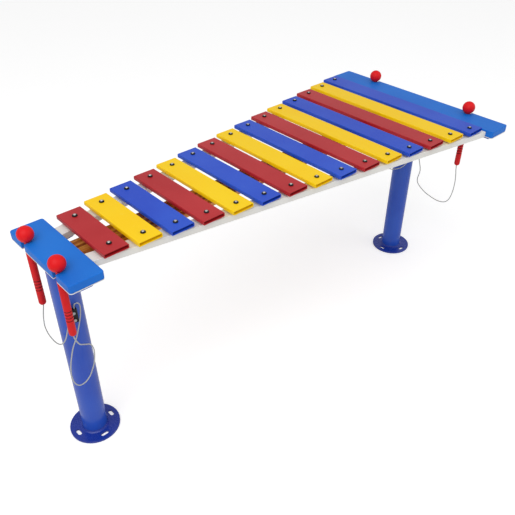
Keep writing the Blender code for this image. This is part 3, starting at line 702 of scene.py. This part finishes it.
collars = bmesh.new()
glint_domes = bmesh.new()
nuts = bmesh.new()
bushes = {-1: bmesh.new(), 1: bmesh.new()}
CUSHION_LOW, CUSHION_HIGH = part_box("bar_cushion_front")
for x, y, top in bolt_spots():
    place = Matrix.Translation((x, y, top + GAP))
    add_collar(collars, place)
    add_glint_dome(glint_domes, place)
    seat = RAIL_UNDERSIDE - GAP
    nut = [(NUT_BORE, seat, False), (NUT_FLANGE_RADIUS, seat, False),
           (NUT_FLANGE_RADIUS, seat - NUT_FLANGE_EDGE, False), (NUT_FLATS, seat - NUT_FLANGE_THICKNESS, True),
           (NUT_FLATS, seat - NUT_HEIGHT, True), (NUT_BORE, seat - NUT_HEIGHT, False)]
    add_rings(nuts, nut, 24, Matrix.Translation((x, y, 0)), closed=True)
    bush = [(BUSH_BORE, CUSHION_LOW[2], False), (BUSH_RADIUS, CUSHION_LOW[2], False),
            (BUSH_RADIUS + BUSH_BULGE, (CUSHION_LOW[2] + CUSHION_HIGH[2]) / 2, False),
            (BUSH_RADIUS, CUSHION_HIGH[2], False), (BUSH_BORE, CUSHION_HIGH[2], False)]
    add_rings(bushes[1 if y > 0 else -1], bush, 24, Matrix.Translation((x, y, 0)), closed=True)
make_piece("bolt_collars", collars, "black_metal", "frame")
# The bright steel of the domes is a painted highlight that stands for the glint on each black head.
make_piece("bolt_glint_domes", glint_domes, "bright_steel", "frame")
make_piece("bar_nuts", nuts, "zinc", "frame")
make_piece("bar_bushes_front", bushes[-1], "black_rubber", "frame", "bar_cushion_front")
make_piece("bar_bushes_back", bushes[1], "black_rubber", "frame", "bar_cushion_back")

# %% The bolts and screws under the boards, the rails and the plank
LEG_X = middle_of("leg_long")[0]
CROSSBAR_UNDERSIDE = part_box("crossbar_long")[0][2]
PLANK_UNDERSIDE, PLANK_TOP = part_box("spine_plank")[0][2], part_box("spine_plank")[1][2]
PLATE_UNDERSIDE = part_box("top_plate_long")[0][2]
BRACKET_THICKNESS = 0.005
BRACKET_UNDERSIDE = PLANK_TOP - BRACKET_THICKNESS
BOARD_BOLTS = [(-LEG_X, y) for y in (-0.13, 0.13)] + [(LEG_X, y) for y in (-0.34, -0.13, 0.13, 0.34)]
RAIL_SCREW_X = (0.787, 0.806)
PLANK_BOLT_X = 0.8245
PLANK_BOLT_Y = (-0.032, 0.032)
PLANK_BOLTS = [(end * PLANK_BOLT_X, y) for end in (-1, 1) for y in PLANK_BOLT_Y]
COUNTERBORE_DEPTH = 0.006
COUNTERBORE_FLOOR = PLANK_TOP - COUNTERBORE_DEPTH
FIRST_BAR_X = middle_of("bar_01")[0]
LAST_BAR_X = middle_of("bar_15")[0]


def add_bolt(bm, x, y, seat, head, head_height, shank, tip):
    """A hexagon head below its seat with the shank standing up from it."""
    rings = [(head, seat - head_height, True), (head, seat, True), (shank, seat, False), (shank, tip, False)]
    add_rings(bm, rings, 24, Matrix.Translation((x, y, 0)))


def line_y(x):
    """How far from the middle the line of bar bolts lies at x."""
    return FIRST_BOLT_Y + BOLT_STEP_Y * 14 * (x - FIRST_BAR_X) / (LAST_BAR_X - FIRST_BAR_X)


board_bolts = bmesh.new()
for x, y in BOARD_BOLTS:
    add_bolt(board_bolts, x, y, CROSSBAR_UNDERSIDE - GAP, 0.0065, 0.0053, 0.0040, 0.7790)
make_piece("board_bolts", board_bolts, "zinc", "frame")

rail_screws = bmesh.new()
for x in [end * x for end in (-1, 1) for x in RAIL_SCREW_X]:
    for side in (-1, 1):
        add_bolt(rail_screws, x, side * line_y(x), BRACKET_UNDERSIDE - GAP, 0.0050, 0.0030, 0.0030, 0.7715)
make_piece("rail_screws", rail_screws, "zinc", "frame")

plank_bolts = bmesh.new()
for x, y in PLANK_BOLTS:
    seat = COUNTERBORE_FLOOR + GAP
    rings = [(0.0040, PLATE_UNDERSIDE - 0.010, False), (0.0040, seat, False), (0.0082, seat, False),
             (0.0082, seat + 0.0025, False), (0.0060, seat + 0.0045, False)]
    add_rings(plank_bolts, rings, 24, Matrix.Translation((x, y, 0)))
    under = PLATE_UNDERSIDE - GAP
    nut = [(0.0043, under, False), (0.0065, under, True), (0.0065, under - 0.0065, True),
           (0.0043, under - 0.0065, False)]
    add_rings(plank_bolts, nut, 24, Matrix.Translation((x, y, 0)), closed=True)
make_piece("plank_bolts", plank_bolts, "zinc", "frame")

# %% The screws of the clamps
CLAMP_TURN = math.radians(-12)
CLAMP_SCREW_HEIGHTS = (0.553, 0.581)
CLAMP_FACE = 0.05645

screws = bmesh.new()
for label in ("short", "long"):
    x, y, foot, top = middle_of("leg_" + label)
    lie = Matrix.Translation((x, y, 0)) @ Matrix.Rotation(CLAMP_TURN, 4, "Z")
    for height in CLAMP_SCREW_HEIGHTS:
        place = lie @ Matrix.Translation((0, 0, height)) @ Matrix.Rotation(math.pi / 2, 4, "X")
        rings = [(0.0028, 0.035, False), (0.0028, CLAMP_FACE + GAP, False), (0.0055, CLAMP_FACE + GAP, True),
                 (0.0055, CLAMP_FACE + 0.0035, True), (0.0046, CLAMP_FACE + 0.0042, False)]
        add_rings(screws, rings, 24, place)
make_piece("tether_clamp_screws", screws, "zinc", "frame")

# %% [markdown]
# ## Floor, background and light
# The photograph is lit softly from above on pure white. The floor and the world are white only to the
# camera and in reflections, so the object itself gets plain light and the floor keeps its shadow.

# %% The floor
FLOOR_HALF = 12.0
floor_bm = bmesh.new()
corners = ((-1, -1), (1, -1), (1, 1), (-1, 1))
floor_bm.faces.new([floor_bm.verts.new((FLOOR_HALF * x, FLOOR_HALF * y, 0)) for x, y in corners])
floor_mesh = bpy.data.meshes.new("floor")
floor_bm.to_mesh(floor_mesh)
floor_bm.free()
floor = bpy.data.objects.new("floor", floor_mesh)
bpy.context.collection.objects.link(floor)

FLOOR_GLOW = 0.42
floor_material = bpy.data.materials.new("white floor")
floor_material.use_nodes = True
floor_tree = floor_material.node_tree
floor_shader = floor_tree.nodes["Principled BSDF"]
floor_shader.inputs["Base Color"].default_value = (0.80, 0.80, 0.80, 1.0)
floor_shader.inputs["Roughness"].default_value = 0.9
floor_shader.inputs["Emission Color"].default_value = (1.0, 1.0, 1.0, 1.0)
floor_path = floor_tree.nodes.new("ShaderNodeLightPath")
floor_glow = floor_tree.nodes.new("ShaderNodeMath")
floor_glow.operation = "MULTIPLY"
floor_glow.inputs[1].default_value = FLOOR_GLOW
floor_tree.links.new(floor_path.outputs["Is Camera Ray"], floor_glow.inputs[0])
floor_tree.links.new(floor_glow.outputs[0], floor_shader.inputs["Emission Strength"])
floor_mesh.materials.append(floor_material)

# %% The world and the lamps
WORLD_STRENGTH = 0.60
LAMPS = (
    ("key", (-2.6, -1.4, 4.2), 4.5, 95.0),
    ("fill", (2.4, -3.0, 3.2), 3.5, 22.0),
)
world = bpy.data.worlds.new("world")
bpy.context.scene.world = world
world.use_nodes = True
world_tree = world.node_tree
background = world_tree.nodes["Background"]
background.inputs["Color"].default_value = (1.0, 1.0, 1.0, 1.0)
world_path = world_tree.nodes.new("ShaderNodeLightPath")
world_level = world_tree.nodes.new("ShaderNodeMapRange")
world_level.inputs["To Min"].default_value = WORLD_STRENGTH
world_level.inputs["To Max"].default_value = 1.0
world_tree.links.new(world_path.outputs["Is Camera Ray"], world_level.inputs["Value"])
world_tree.links.new(world_level.outputs["Result"], background.inputs["Strength"])

for lamp_name, lamp_place, lamp_size, lamp_power in LAMPS:
    lamp_data = bpy.data.lights.new(lamp_name, "AREA")
    lamp_data.shape = "DISK"
    lamp_data.size = lamp_size
    lamp_data.energy = lamp_power
    lamp = bpy.data.objects.new(lamp_name, lamp_data)
    lamp.location = lamp_place
    aim = Vector((0.0, 0.0, 0.6)) - Vector(lamp_place)
    lamp.rotation_euler = aim.to_track_quat("-Z", "Y").to_euler()
    bpy.context.collection.objects.link(lamp)

bpy.context.scene.view_settings.view_transform = "Standard"
print("lamps:", len(LAMPS))
